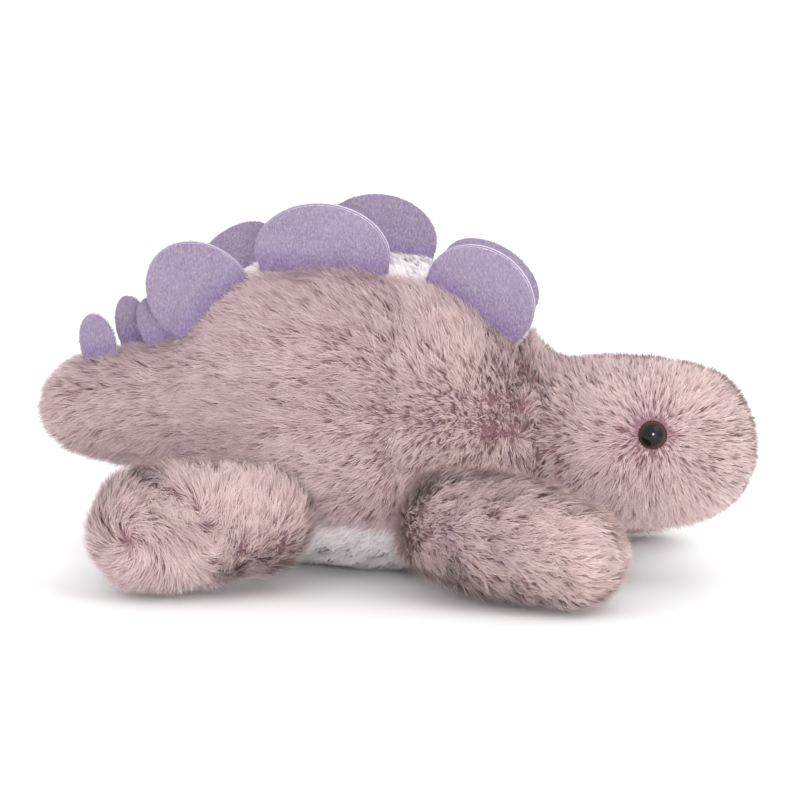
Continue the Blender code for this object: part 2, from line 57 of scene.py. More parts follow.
# Stuffed shape, in mm: x, lowest z, highest z, half width, half width of the strip on top
SPINE = np.array([
    (-153.6, 63.8, 63.8, 0.0, 0.0), (-153.3, 61, 66.6, 2.8, 1.2), (-151, 54, 74, 10, 4),
    (-145, 47, 81.5, 17, 6.5), (-136, 42, 87, 21.5, 8), (-125, 39.5, 90, 24.5, 9),
    (-113, 37, 92, 27.5, 9.5), (-101, 34, 95.5, 31, 10), (-90, 31, 101, 34, 11),
    (-80, 23, 112, 40.5, 14), (-69, 13, 122, 48, 17), (-56, 4, 130, 54, 19),
    (-40, -2, 133, 60, 19), (-20, -2, 133.5, 62, 19), (-2, -2, 131.5, 61, 19),
    (13, -2, 129.5, 59, 19), (27, -1, 124, 56, 19), (42, 3, 114, 50, 17), (56, 9, 102, 43, 12),
    (67, 17, 93, 38, 7), (80, 17.5, 94, 38.5, 10), (94, 18.5, 95.3, 38.5, 12),
    (108, 20, 95.5, 37.5, 12), (122, 21.5, 93.5, 35, 11), (134, 25, 89, 31, 10),
    (143, 30.5, 81.5, 25, 8), (149.5, 39, 71.5, 16, 5.5), (152.5, 47.5, 62.5, 7.5, 3),
    (153.3, 52.4, 58.0, 2.8, 1.2), (153.6, 55.2, 55.2, 0.0, 0.0),
], float)
SQUARENESS = 2.3
BELLY_SHARE = 0.86
COLUMNS = {"strip": 12, "right": 34, "belly": 16, "left": 34}
AROUND = sum(COLUMNS.values())
STEPS = 5
TAIL_ROW, SEAM_ROW, NECK_ROW = 8, 15, 19
TAIL_X, SEAM_X, NECK_X = SPINE[[TAIL_ROW, SEAM_ROW, NECK_ROW], 0]

# Depth of the backing under the pile tips, in mm
LONG_INSET = 6.2
PLUSH_INSET = 2.6
EYE_INSET = 3.6

# How the backing gives way to the floor and the legs, and the tuck of the belly's sides, in mm
SOLE_GAP = 2.2
LEG_PRESS_ROOM = 4.0
LEG_PRESS_SOFTNESS = 2.5
BELLY_TUCK = 3.5

# Pile: lengths, spread and width in mm, locks to the square mm, strands to a lock
LONGEST = 11.5
LONG_PILE = 6.0
HEAD_PILE = 5.0
EYE_PILE = 2.3
SOLE_PILE = 1.8
LOCKS, STRANDS, SPREAD, WIDTH = 0.74, 5, 0.85, 0.30
PLUSH_PILE = 2.4
PLUSH_LOCKS, PLUSH_STRANDS, PLUSH_SPREAD, PLUSH_WIDTH = 1.1, 4, 0.9, 0.36
ROOT_DEPTH = 0.4
FLOOR_GAP = 0.3
STRAND_BENDS = (0.75, 1.2)
MOST_BEND = 1.5
UNDER_SKIN = 0.86

LEGS = {
    "rear": ((-46.0, 61.5, 29.0), 24.0, (-90.0, 77.0, 28.0), 28.0),
    "front": ((34.0, 62.5, 31.0), 25.0, (87.0, 79.0, 24.5), 24.5),
}
EYE_PLACE = np.array([113.6, 35.6, 67.0])
EYE_OUT = np.array([0.10, 0.98, 0.16]) / np.linalg.norm([0.10, 0.98, 0.16])
EYE_RADIUS = 6.0
EYE_HEIGHT = 4.2
EYE_SINK = 2.6
EYE_CLEAR = 5.9
EYE_BACK = ((0.97, -3.4), (0.8, -4.2), (0.0, -4.4))
SPOKES = 48

# Felt: root, curl and nap width in mm; middle, rings and shrink as shares of the outline; strands of nap
FELT_ROOT = 5.0
FELT_MIDDLE = 0.35
FELT_RINGS = (1.0, 0.985, 0.93, 0.75, 0.5, 0.25)
EDGE_ROUND = 0.18
LAYER_SHRINK = 0.985
PLATE_CURL, SPIKE_CURL = -1.6, -0.6
PLATE_NAP, SPIKE_NAP = 5000, 1600
NAP_WIDTH = 0.16


def smooth(value, start, end):
    t = np.clip((value - start) / (end - start), 0, 1)
    return t * t * (3 - 2 * t)


def unit(v):
    return v / np.maximum(np.linalg.norm(v, axis=-1, keepdims=True), 1e-9)


def mix(a, b, t):
    return a + (b - a) * t


def hump(value, centre, width):
    """1 at the centre, falling to nothing on both sides of it."""
    return np.exp(-((value - centre) / width) ** 2)


WAVES = [(DRAW.normal(size=(3, 3)), DRAW.uniform(0, 2 * math.pi, 3)) for _ in range(5)]


def drift(p, wavelength):
    """A smooth vector field of about unit size, the same at each run."""
    total = np.zeros(p.shape)
    for k, (directions, phases) in enumerate(WAVES):
        angle = p @ (directions.T * (2 * math.pi / wavelength) * (0.7 + 0.15 * k)) + phases
        total += np.sin(angle)
    return total / math.sqrt(len(WAVES))


# Stuffed skins: grids of points, row by row along the piece


def sampled(table, steps):
    """A smooth curve through the table's rows, with the same number of steps in each interval."""
    padded = np.vstack([2 * table[0] - table[1], table, 2 * table[-1] - table[-2]])
    rows = []
    for k in range(1, len(padded) - 2):
        a, b, c, d = padded[k - 1:k + 3]
        for s in np.arange(steps) / steps:
            rows.append(0.5 * (2 * b + (c - a) * s + (2 * a - 5 * b + 4 * c - d) * s**2
                               + (3 * b - a - 3 * c + d) * s**3))
    rows.append(padded[-2])
    return np.array(rows)


def signed_power(value, power):
    return np.sign(value) * np.abs(value) ** power


def spine_angles(row):
    """Angles round one section: the strip, the right side, the belly, then the left side."""
    half, strip = max(row[3], 1e-6), max(row[4], 0.0)
    top = math.asin(min(1.0, (strip / half) ** (SQUARENESS / 2)))
    under = math.pi - math.asin(BELLY_SHARE ** (SQUARENESS / 2))
    bounds = {
        "strip": (-top, top), "right": (top, under), "belly": (under, 2 * math.pi - under),
        "left": (2 * math.pi - under, 2 * math.pi - top),
    }
    found = []
    for part, count in COLUMNS.items():
        start, end = bounds[part]
        found += [start + (end - start) * k / count for k in range(count)]
    return np.array(found)


def spine_envelope():
    """The pile tips of the tail, the torso and the head."""
    rows = sampled(SPINE, STEPS)
    rows[:, 3] = np.maximum(rows[:, 3], 0)
    points = []
    for row in rows:
        x, low, high, half, _ = row
        angle = spine_angles(row)
        y = -half * signed_power(np.sin(angle), 2 / SQUARENESS)
        z = (high + low) / 2 + (high - low) / 2 * signed_power(np.cos(angle), 2 / SQUARENESS)
        points.append(np.stack([np.full(len(angle), x), y, np.maximum(z, 0)], axis=1))
    return np.array(points)


def grid_normals(grid):
    """Outward directions at a grid's points; the end rows point along the piece."""
    along = np.gradient(grid, axis=0)
    around = np.roll(grid, -1, axis=1) - np.roll(grid, 1, axis=1)
    normal = np.cross(around, along)
    outward = np.sign((normal * (grid - grid.mean(axis=1, keepdims=True))).sum())
    normal = unit(normal * outward)
    normal[0] = unit(grid[0].mean(0) - grid[2].mean(0))
    normal[-1] = unit(grid[-1].mean(0) - grid[-3].mean(0))
    return normal


def leg_sign(name):
    return -1 if name.endswith("right") else 1


def leg_balls(name):
    root, root_radius, foot, foot_radius = LEGS[name.split("_")[0]]
    flip = np.array([1, leg_sign(name), 1])
    return np.array(root) * flip, root_radius, np.array(foot) * flip, foot_radius


def leg_distance(p, name, inset):
    """Distance from the leg's rounded shape, and the direction away from it."""
    root, root_radius, foot, foot_radius = leg_balls(name)
    run = foot - root
    share = np.clip(((p - root) @ run) / (run @ run), 0, 1)[..., None]
    away = p - (root + run * share)
    radius = root_radius + (foot_radius - root_radius) * share[..., 0] - inset
    return np.linalg.norm(away, axis=-1) - radius, unit(away)


def spine_share(p):
    """1 on the spine's pile tips, less inside."""
    order = np.argsort(SPINE[:, 0])
    low, high, half = (np.interp(p[..., 0], SPINE[order, 0], SPINE[order, k]) for k in (1, 2, 3))
    across = np.abs(p[..., 1]) / np.maximum(half, 1)
    tall = np.abs(p[..., 2] - (low + high) / 2) / np.maximum((high - low) / 2, 1)
    return (across**SQUARENESS + tall**SQUARENESS) ** (1 / SQUARENESS)


def eye_distance(p):
    """Distance from the axis of the nearer eye."""
    mirrored = np.concatenate([p[..., :1], np.abs(p[..., 1:2]), p[..., 2:]], axis=-1)
    away = mirrored - EYE_PLACE
    away = away - (away @ EYE_OUT)[..., None] * EYE_OUT
    return np.linalg.norm(away, axis=-1)


LEG_NAMES = [f"{end}_leg_{side}" for end in ("rear", "front") for side in ("right", "left")]


def spine_skin():
    """The backing under the pile of the tail, the torso and the head."""
    tips = spine_envelope()
    normal = grid_normals(tips)
    column = np.arange(tips.shape[1])
    row = np.arange(tips.shape[0])[:, None]
    strip_end, belly_start = COLUMNS["strip"], COLUMNS["strip"] + COLUMNS["right"]
    belly_end = belly_start + COLUMNS["belly"]
    on_strip = 1 - np.abs(column / strip_end * 2 - 1)
    on_strip = np.where(column <= strip_end, smooth(on_strip, 0.0, 0.35), 0)
    on_belly = 1 - np.abs((column - belly_start) / COLUMNS["belly"] * 2 - 1)
    inside = (column >= belly_start) & (column <= belly_end)
    on_belly = np.where(inside, smooth(on_belly, 0.0, 0.4), 0)
    on_torso = ((row >= TAIL_ROW * STEPS) & (row <= (NECK_ROW - 1) * STEPS)).astype(float)
    inset = mix(LONG_INSET, PLUSH_INSET, np.clip(on_strip + on_belly, 0, 1) * on_torso)
    near_eye = 1 - smooth(eye_distance(tips), 7.0, 13.0)
    near_eye = near_eye * (np.abs(tips[..., 1]) > 20)
    inset = mix(inset, EYE_INSET, near_eye)
    x = tips[..., 0]
    fold = mix(1.6, 0.2, smooth(tips[..., 2], 62, 92))
    inset = inset + fold * hump(x, NECK_X - 0.5, 4.5)
    inset = inset + 1.1 * hump(x, SEAM_X, 2.5) * (1 - on_strip)
    inset = inset + 0.8 * hump(x, TAIL_X, 6.0)
    inset = inset + 0.8 * drift(tips, 62.0)[..., 0]
    skin = tips - normal * inset[..., None]
    tuck = smooth(np.abs(skin[..., 1]), 0, 26) * (1 - smooth(skin[..., 2], 6, 34))
    skin[..., 2] += BELLY_TUCK * tuck * smooth(x, -72, -40) * (1 - smooth(x, 40, 66))
    for name in LEG_NAMES:
        distance, away = leg_distance(skin, name, LEG_PRESS_ROOM)
        depth = np.clip(distance / LEG_PRESS_SOFTNESS, -12, 12)
        press = LEG_PRESS_SOFTNESS * np.log1p(np.exp(-depth))
        skin = skin + away * np.where(distance < 10, press, 0)[..., None]
    skin[..., 2] = np.maximum(skin[..., 2], SOLE_GAP)
    return skin


def leg_envelope(name):
    """The pile tips of a leg: a ball at the root, a ball at the foot and a run between them."""
    root, root_radius, foot, foot_radius = leg_balls(name)
    run = foot - root
    length = np.linalg.norm(run)
    along = run / length
    upward = unit(UP - (UP @ along) * along)
    across = np.cross(along, upward)
    tilt = math.acos((root_radius - foot_radius) / length)
    ring = []
    for a in np.linspace(math.pi, tilt, 12):
        ring.append((root_radius * math.cos(a), root_radius * math.sin(a)))
    start, end = ring[-1], (length + foot_radius * math.cos(tilt), foot_radius * math.sin(tilt))
    bulge = 1.0 if name.startswith("rear") else 4.0
    for s in np.linspace(0, 1, 14)[1:-1]:
        swell = bulge * math.sin(math.pi * s)
        ring.append((mix(start[0], end[0], s), mix(start[1], end[1], s) + swell))
    for a in np.linspace(tilt, 0, 16):
        ring.append((length + foot_radius * math.cos(a), foot_radius * math.sin(a)))
    angle = np.linspace(0, 2 * math.pi, SPOKES + 1)[:-1]
    sides = np.cos(angle)[:, None] * upward - np.sin(angle)[:, None] * across
    return np.array([root + along * t + sides * r for t, r in ring])


CREASE_SIDE = unit(np.array([0.495, -0.258, 0.829]))
CREASE_OUT = unit(np.array([0.184, 0.964, 0.191]))
CREASE_REACH = 9.8


def crease_place(p, name):
    """How far a point is past the rear foot's fold, and how much of the fold there is there."""
    _, _, foot, _ = leg_balls(name)
    flip = np.array([1, leg_sign(name), 1])
    away = (p - foot) * flip
    return away @ CREASE_SIDE - CREASE_REACH, smooth(unit(away) @ CREASE_OUT, 0.35, 0.75)


def leg_skin(name):
    """The backing under a leg's pile, with the fold of its foot."""
    tips = leg_envelope(name)
    normal = grid_normals(tips)
    inset = np.full(tips.shape[:2], LONG_INSET)
    inset += 0.8 * drift(tips, 38.0)[..., 1]
    if name.startswith("rear"):
        past, there = crease_place(tips, name)
        inset += 4.0 * hump(past, 0, 2.6) * there
    else:
        x = tips[..., 0] + 0.35 * tips[..., 2]
        inset += 2.4 * hump(x, 62, 3.5) * smooth(42 - tips[..., 2], 0, 20)
    skin = tips - normal * inset[..., None]
    skin[..., 2] = np.maximum(skin[..., 2], SOLE_GAP)
    return skin


# Meshes


def mesh_object(name, mesh):
    obj = bpy.data.objects.new(name, mesh)
    bpy.context.scene.collection.objects.link(obj)
    return obj


def grid_piece(name, grid, rows, columns, material):
    """A smooth piece of a grid; columns may run past the end and close round."""
    count = grid.shape[1]
    taken = [j % count for j in columns]
    closed = len(set(taken)) < len(taken)
    part = grid[rows[0]:rows[1] + 1][:, taken[:-1] if closed else taken] * MM
    tall, wide = part.shape[:2]
    faces = []
    for i in range(tall - 1):
        for j in range(wide if closed else wide - 1):
            k = (j + 1) % wide
            faces.append((i * wide + j, i * wide + k, (i + 1) * wide + k, (i + 1) * wide + j))
    mesh = bpy.data.meshes.new(name)
    mesh.from_pydata(part.reshape(-1, 3).tolist(), [], faces)
    bm = bmesh.new()
    bm.from_mesh(mesh)
    bmesh.ops.remove_doubles(bm, verts=bm.verts, dist=1e-6)
    bm.to_mesh(mesh)
    bm.free()
    mesh.shade_smooth()
    mesh.materials.append(material)
    return mesh_object(name, mesh)


def ribbons(name, path, face_normal, shade_normal, width, tone, material):
    """Tapered strands of fur: path is (strand, point, xyz) in mm, root first."""
    strands, points = path.shape[:2]
    shape = np.array([0.9, 0.8])
    tangent = unit(path[:, -1] - path[:, 0])
    side = unit(np.cross(tangent, face_normal))
    rings = path[:, :-1, None, :] + (
        side[:, None, None, :] * np.array([-0.5, 0.5])[None, None, :, None]
        * width[:, None, None, None] * shape[None, :, None, None])
    body = rings.reshape(strands, -1, 3)
    verts = np.concatenate([body, path[:, -1:]], axis=1)
    per = verts.shape[1]
    corners, sizes, v_values = [], [], []
    for k in range(points - 2):
        corners += [2 * k, 2 * k + 1, 2 * k + 3, 2 * k + 2]
        v_values += [k, k, k + 1, k + 1]
        sizes.append(4)
    k = points - 2
    corners += [2 * k, 2 * k + 1, 2 * k + 2]
    v_values += [k, k, k + 1]
    sizes.append(3)
    corners, v_values = np.array(corners), np.array(v_values) / (points - 1)
    loops = (np.arange(strands)[:, None] * per + corners[None]).reshape(-1)
    starts = np.concatenate([[0], np.cumsum(sizes)[:-1]])
    starts = (np.arange(strands)[:, None] * len(corners) + starts[None]).reshape(-1)
    mesh = bpy.data.meshes.new(name)
    mesh.vertices.add(strands * per)
    mesh.vertices.foreach_set("co", (verts * MM).astype(np.float32).reshape(-1))
    mesh.loops.add(len(loops))
    mesh.loops.foreach_set("vertex_index", loops.astype(np.int32))
    mesh.polygons.add(len(starts))
    mesh.polygons.foreach_set("loop_start", starts.astype(np.int32))
    layer = mesh.uv_layers.new(name="OFBake")
    u = np.repeat(np.clip(tone, 0.01, 0.99), len(corners))
    v = np.tile(np.clip(v_values, 0.01, 0.99), strands)
    layer.data.foreach_set("uv", np.stack([u, v], axis=1).astype(np.float32).reshape(-1))
    mesh.update(calc_edges=True)
    mesh.shade_smooth()
    normals = np.repeat(shade_normal[:, None], per, axis=1).reshape(-1, 3)
    mesh.normals_split_custom_set_from_vertices(normals.astype(np.float32))
    mesh.materials.append(material)
    return mesh_object(name, mesh)


# Fur


def cell_corners(field):
    """The values at the four corners of a grid's cells, in order round each cell."""
    after = np.roll(field, -1, axis=1)
    return field[:-1], after[:-1], after[1:], field[1:]


def scatter(grid, normals, wanted, density):
    """Random points over the wanted cells of a grid, with their normals."""
    a, b, c, d = cell_corners(grid)
    area = np.linalg.norm(np.cross(c - a, d - b), axis=-1) / 2 * wanted
    count = int(area.sum() * density)
    cells = DRAW.choice(area.size, count, p=(area / area.sum()).reshape(-1))
    i, j = np.unravel_index(cells, area.shape)
    s, t = DRAW.random((2, count, 1))

    def within(field):
        a, b, c, d = (corner[i, j] for corner in cell_corners(field))
        return (a * (1 - s) + b * s) * (1 - t) + (d * (1 - s) + c * s) * t

    return within(grid), unit(within(normals))


def tangent_part(v, n):
    return unit(v - (v * n).sum(-1, keepdims=True) * n)


class Fur:
    """Locks of fur: each lock's strands start round its middle and draw together at their tips."""

    def __init__(self, place, normal, comb, lean, height, tone, strands, spread, width, wild=0.22):
        locks, count = len(place), len(place) * strands
        take = np.repeat(np.arange(locks), strands)
        n = normal[take]
        first = tangent_part(np.cross(n, UP + 0.01), n)
        second = np.cross(n, first)
        turn, reach = DRAW.uniform(0, 2 * math.pi, count), np.sqrt(DRAW.random(count)) * spread
        offset = first * (np.cos(turn) * reach)[:, None] + second * (np.sin(turn) * reach)[:, None]
        comb = comb + DRAW.normal(0, wild, (locks, 3))
        comb = tangent_part(comb[take] + DRAW.normal(0, wild * 0.8, (count, 3)), n)
        lean = (lean + DRAW.normal(0, 0.13, locks))[take] + DRAW.normal(0, 0.09, count)
        lean = np.clip(lean, 0.08, 1.3)
        bends = [np.minimum(lean * share, MOST_BEND) for share in STRAND_BENDS]
        rise = 0.5 * (np.cos(bends[0]) + np.cos(bends[1]))
        high = (height * DRAW.uniform(0.78, 1.12, locks))[take] * DRAW.uniform(0.65, 1.1, count)
        long = np.minimum(high / rise, LONGEST)
        pull = DRAW.uniform(0.2, 0.75, locks)[take]
        at = place[take] + offset
        path = [at - n * ROOT_DEPTH]
        for t, angle in zip((0.5, 1.0), bends):
            step = n * np.cos(angle)[:, None] + comb * np.sin(angle)[:, None]
            at = at + step * (long / 2)[:, None]
            path.append(at - offset * (pull * t**1.5)[:, None])
        path = np.stack(path, axis=1)
        path[:, 1:, 2] = np.maximum(path[:, 1:, 2], FLOOR_GAP)
        self.path = path
        self.tone = tone[take] + DRAW.normal(0, 0.16, locks)[take] + DRAW.normal(0, 0.12, count)
        self.width = width * DRAW.uniform(0.7, 1.3, count)
        tangent = unit(path[:, -1] - path[:, 0])
        side = np.cross(tangent, n)
        weak = np.linalg.norm(side, axis=1) < 0.35
        side[weak] += DRAW.normal(0, 0.6, (weak.sum(), 3))
        self.face = unit(np.cross(unit(side), tangent))
        self.shade = unit(mix(self.face, n, 0.6) + DRAW.normal(0, 0.08, (count, 3)))

    def piece(self, name, wanted, material):
        return ribbons(name, self.path[wanted], self.face[wanted], self.shade[wanted],
                       self.width[wanted], self.tone[wanted], material)


def body_comb(p, n):
    """Direction, lean, height and tone of the pile on the torso, the tail and the head."""
    x, y, z = p.T
    side = np.where(y < 0, -1.0, 1.0)
    zero, one = np.zeros(len(p)), np.ones(len(p))
    high, low = smooth(z, 85, 122), smooth(-z, -48, -18)
    rear = np.stack([-one, zero, 0.7 * high - 0.25 * low], 1)
    rise = smooth(z, 30, 112)
    front = np.stack([-0.8 * one, zero, 1.6 * rise - 0.8], 1)
    eye = EYE_PLACE * np.stack([one, side, one], 1)
    head = unit(p - eye) + np.array([0.12, 0, 0])
    tail = np.stack([-one, zero, -0.12 * one], 1)
    to_front = smooth(x, -14, 22)[:, None]
    to_head = smooth(x, 48, 84)[:, None]
    to_tail = smooth(-x, 78, 104)[:, None]
    comb = mix(mix(mix(rear, front, to_front), head, to_head), tail, to_tail)
    comb = comb + 0.5 * hump(x, 50, 16)[:, None] * drift(p + 60, 30.0)
    comb = comb + 0.22 * drift(p, 52.0) + 0.2 * drift(p + 90, 19.0)
    lean = mix(0.9, 0.66, smooth(x, -40, 12))
    lean = lean + 0.25 * smooth(np.abs(z - 73), 15, 40) * smooth(x, 0, 25)
    lean = mix(lean, 0.55, (1 - np.abs(2 * rise - 1)) ** 2 * smooth(x, -14, 22))
    lean = mix(lean, 0.78, smooth(x, 52, 80))
    lean = mix(lean, 0.38, smooth(z, 76, 92) * smooth(x, 40, 76))
    neck = hump(x, 68, 14) * (1 - smooth(z, 80, 96))
    lean = mix(lean, 0.36, 0.85 * neck)
    lean = mix(lean, 0.82, smooth(-x, 78, 100))
    lean = mix(lean, 0.42, smooth(x, 122, 146))
    lean = mix(lean, 0.5, smooth(-z, -34, -22) * smooth(x, 84, 100))
    lean = np.clip(lean + 0.08 * drift(p + 40, 15.0)[:, 0], 0.1, 1.2)
    height = mix(np.full(len(p), LONG_PILE), HEAD_PILE, smooth(x, 62, 78))
    near_eye = (1 - smooth(eye_distance(p), 6.5, 13.0)) * (np.abs(y) > 20)
    height = mix(height, EYE_PILE, near_eye)
    lean = mix(lean, 0.45, near_eye)
    tone = mix(mix(0.36, 0.46, smooth(x, -40, 20)), 0.44, smooth(x, 60, 100))
    # The tone drops round the neck, below its top: painted shade in the neck's crease
    tone = tone - 0.2 * neck + 0.3 * hump(x, 38, 16)
    tone = mix(tone, 0.95, smooth(x, 108, 148) * 0.85)
    tone = tone + 0.2 * smooth(z, 74, 96) * smooth(x, 76, 100)
    tone = tone + 0.25 * smooth(-z, -48, -24) * smooth(x, 74, 100)
    tone = tone + 0.25 * smooth(x, 15, 40) * (1 - smooth(x, 55, 75)) * smooth(z, 92, 110)
    tone = tone + 0.09 * drift(p + 10, 42.0)[:, 2] + 0.05 * drift(p, 14.0)[:, 1]
    return tangent_part(comb, n), lean, height, tone


def leg_comb(p, n, name):
    """Direction, lean, height and tone of the pile on a leg."""
    root, _, foot, _ = leg_balls(name)
    if name.startswith("rear"):
        flip = np.array([1, leg_sign(name), 1])
        away = (p - foot) * flip
        past, _ = crease_place(p, name)
        middle = np.array([-4.0, 20.0, -1.0])
        swirl = np.cross(np.array([-0.1, 1.0, 0.1]), away - middle) * 0.9 + 0.5 * (away - middle)
        below = np.array([0.75, 0.2, -0.65])
        over = mix(below, np.array([-0.6, 0.1, 0.8]), smooth(past, 3, 14)[:, None])
        share = smooth(-past, -1.5, 1.5)[:, None]
        comb = mix(over, unit(swirl), share) * flip
        reach = smooth(p[:, 0], -72, -58)[:, None]
        comb = mix(comb, np.array([0.1, 0.2, 0.9]), reach)
        lean = mix(0.85, 1.0, share[:, 0])
        tone = np.full(len(p), 0.66)
    else:
        comb = unit(foot - root) + (0.55 * smooth(p[:, 2:], 10, 44) - 0.2) * UP
        lean = np.full(len(p), 0.9)
        tone = mix(0.5, 0.9, smooth(p[:, 0], 50, 90))
    comb = comb + 0.22 * drift(p + 25, 38.0) + 0.14 * drift(p + 70, 15.0)
    lean = np.clip(lean + 0.08 * drift(p + 40, 13.0)[:, 0], 0.15, 1.25)
    under = smooth(-p[:, 2], -9, -3)
    height = mix(np.full(len(p), LONG_PILE), SOLE_PILE, under)
    lean = mix(lean, 1.2, under)
    tone = tone + 0.09 * drift(p + 10, 34.0)[:, 2] + 0.05 * drift(p, 12.0)[:, 1]
    return tangent_part(comb, n), lean, height, tone


# Materials


def srgb(r, g, b):
    """A screen colour from 0 to 255 as linear shares."""
    return tuple(c / 3294.6 if c <= 10.3 else ((c / 255 + 0.055) / 1.055) ** 2.4 for c in (r, g, b))


def new_material(name, roughness, sheen=0.0):
    material = bpy.data.materials.new(name)
    material.use_nodes = True
    shader = material.node_tree.nodes["Principled BSDF"]
    shader.inputs["Roughness"].default_value = roughness
    shader.inputs["Sheen Weight"].default_value = sheen
    shader.inputs["Specular IOR Level"].default_value = 0.25
    return material, material.node_tree, shader


def ramp(tree, source, stops):
    node = tree.nodes.new("ShaderNodeValToRGB")
    while len(node.color_ramp.elements) < len(stops):
        node.color_ramp.elements.new(0.5)
    for element, (position, colour) in zip(node.color_ramp.elements, stops):
        element.position = position
        element.color = (*colour, 1)
    tree.links.new(source, node.inputs[0])
    return node.outputs[0]


def blend_colour(tree, factor, a, b):
    node = tree.nodes.new("ShaderNodeMix")
    node.data_type = "RGBA"
    for value, socket in ((factor, node.inputs[0]), (a, node.inputs[6]), (b, node.inputs[7])):
        if isinstance(value, bpy.types.NodeSocket):
            tree.links.new(value, socket)
        else:
            socket.default_value = value if isinstance(value, float) else (*value, 1)
    return node.outputs[2]


def fur_material(name, cool, warm, sheen):
    """Colour from root to tip, between a cool and a warm strand."""
    material, tree, shader = new_material(name, 0.8, sheen)
    place = tree.nodes.new("ShaderNodeUVMap")
    place.uv_map = "OFBake"
    split = tree.nodes.new("ShaderNodeSeparateXYZ")
    tree.links.new(place.outputs[0], split.inputs[0])
    heights = (0.0, 0.33, 0.66, 1.0)
    a = ramp(tree, split.outputs[1], list(zip(heights, cool)))
    b = ramp(tree, split.outputs[1], list(zip(heights, warm)))
    tree.links.new(blend_colour(tree, split.outputs[0], a, b), shader.inputs["Base Color"])
    return material


def noise(tree, scale, detail=3.0, stretch=None):
    place = tree.nodes.new("ShaderNodeTexCoord")
    source = place.outputs["Object"]
    if stretch:
        mapping = tree.nodes.new("ShaderNodeMapping")
        mapping.inputs["Scale"].default_value = stretch
        tree.links.new(source, mapping.inputs[0])
        source = mapping.outputs[0]
    node = tree.nodes.new("ShaderNodeTexNoise")
    node.inputs["Scale"].default_value = scale
    node.inputs["Detail"].default_value = detail
    tree.links.new(source, node.inputs["Vector"])
    return node.outputs[0]


def backing_material(name, dark, light):
    """The woven backing between the roots of the pile."""
    material, tree, shader = new_material(name, 0.95)
    colour = ramp(tree, noise(tree, 900.0), [(0.3, dark), (0.7, light)])
    tree.links.new(colour, shader.inputs["Base Color"])
    return material


FUR = fur_material(
    "pile_fibre",
    [srgb(120, 86, 98), srgb(154, 119, 129), srgb(180, 150, 158), srgb(206, 184, 190)],
    [srgb(182, 147, 149), srgb(210, 180, 178), srgb(228, 203, 199), srgb(247, 230, 224)], 0.2)
PLUSH = fur_material(
    "plush_fibre",
    [srgb(214, 204, 214), srgb(234, 226, 232), srgb(244, 238, 242), srgb(250, 247, 249)],
    [srgb(222, 208, 212), srgb(240, 228, 230), srgb(248, 240, 240), srgb(252, 248, 248)], 0.2)
FUR_BACKING = backing_material("pile_backing", srgb(132, 98, 108), srgb(156, 121, 129))
PLUSH_BACKING = backing_material("plush_backing", srgb(216, 206, 216), srgb(232, 224, 230))


# Skins
SKIN = spine_skin()
SKIN_NORMAL = grid_normals(SKIN)
FIRST = dict(zip(COLUMNS, np.cumsum([0, *COLUMNS.values()]).tolist()))
ROW = {"tail": TAIL_ROW * STEPS, "seam": SEAM_ROW * STEPS, "neck": NECK_ROW * STEPS}
STRIP_END = (NECK_ROW - 1) * STEPS
ALL_ROUND = list(range(AROUND + 1))
SIDES = ("right", "left")


def columns_of(part):
    return list(range(FIRST[part], FIRST[part] + COLUMNS[part] + 1))


def bend(obj, end):
    """Bakes the piece's placement into its mesh."""
    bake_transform(obj)


def soft_piece(obj, nodes):
    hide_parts(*nodes)


tail = grid_piece("tail_skin", SKIN, (0, ROW["tail"]), ALL_ROUND, FUR_BACKING)
soft_piece(tail, [
    "tail_panel_right", "tail_panel_left", "tail_top_strip", "tail_under_panel", "tail_stuffing"])
bend(tail, "rear")
head = grid_piece("head_skin", SKIN, (ROW["neck"], len(SKIN) - 1), ALL_ROUND, FUR_BACKING)
soft_piece(head, [
    "head_panel_right", "head_panel_left", "head_gusset", "chin_panel", "head_stuffing"])
bend(head, "front")
for end, rows in (("rear", (ROW["tail"], ROW["seam"])), ("front", (ROW["seam"], ROW["neck"]))):
    for side in SIDES:
        skin = grid_piece(f"{end}_body_skin_{side}", SKIN, rows, columns_of(side), FUR_BACKING)
        soft_piece(skin, [f"{end}_body_panel_{side}"])
        bend(skin, end)
    for part, node in (("strip", "back_strip"), ("belly", "belly_panel")):
        skin = grid_piece(f"{end}_{node}_skin", SKIN, rows, columns_of(part), PLUSH_BACKING)
        soft_piece(skin, [node] + (["body_stuffing"] if part == "belly" else []))
        bend(skin, end)

LEG_SKINS = {}
for name in LEG_NAMES:
    grid = leg_skin(name)
    LEG_SKINS[name] = grid
    columns = list(range(grid.shape[1] + 1))
    obj = grid_piece(name + "_skin", grid, (0, len(grid) - 1), columns, FUR_BACKING)
    nodes = [f"{name}_{part}" for part in ("upper_panel", "sole_panel", "stuffing")]
    soft_piece(obj, nodes)
    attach(obj, name)

# Fur on the torso, the tail and the head
QUALITY = 1.0


def plush_cells(part):
    """1 on the skin's cells that belong to the back strip or to the belly."""
    row = np.arange(len(SKIN) - 1)
    end = STRIP_END if part == "strip" else ROW["neck"]
    cells = np.zeros((len(SKIN) - 1, AROUND))
    columns = FIRST[part] + np.arange(COLUMNS[part])
    cells[np.ix_((row >= ROW["tail"]) & (row < end), columns)] = 1
    return cells


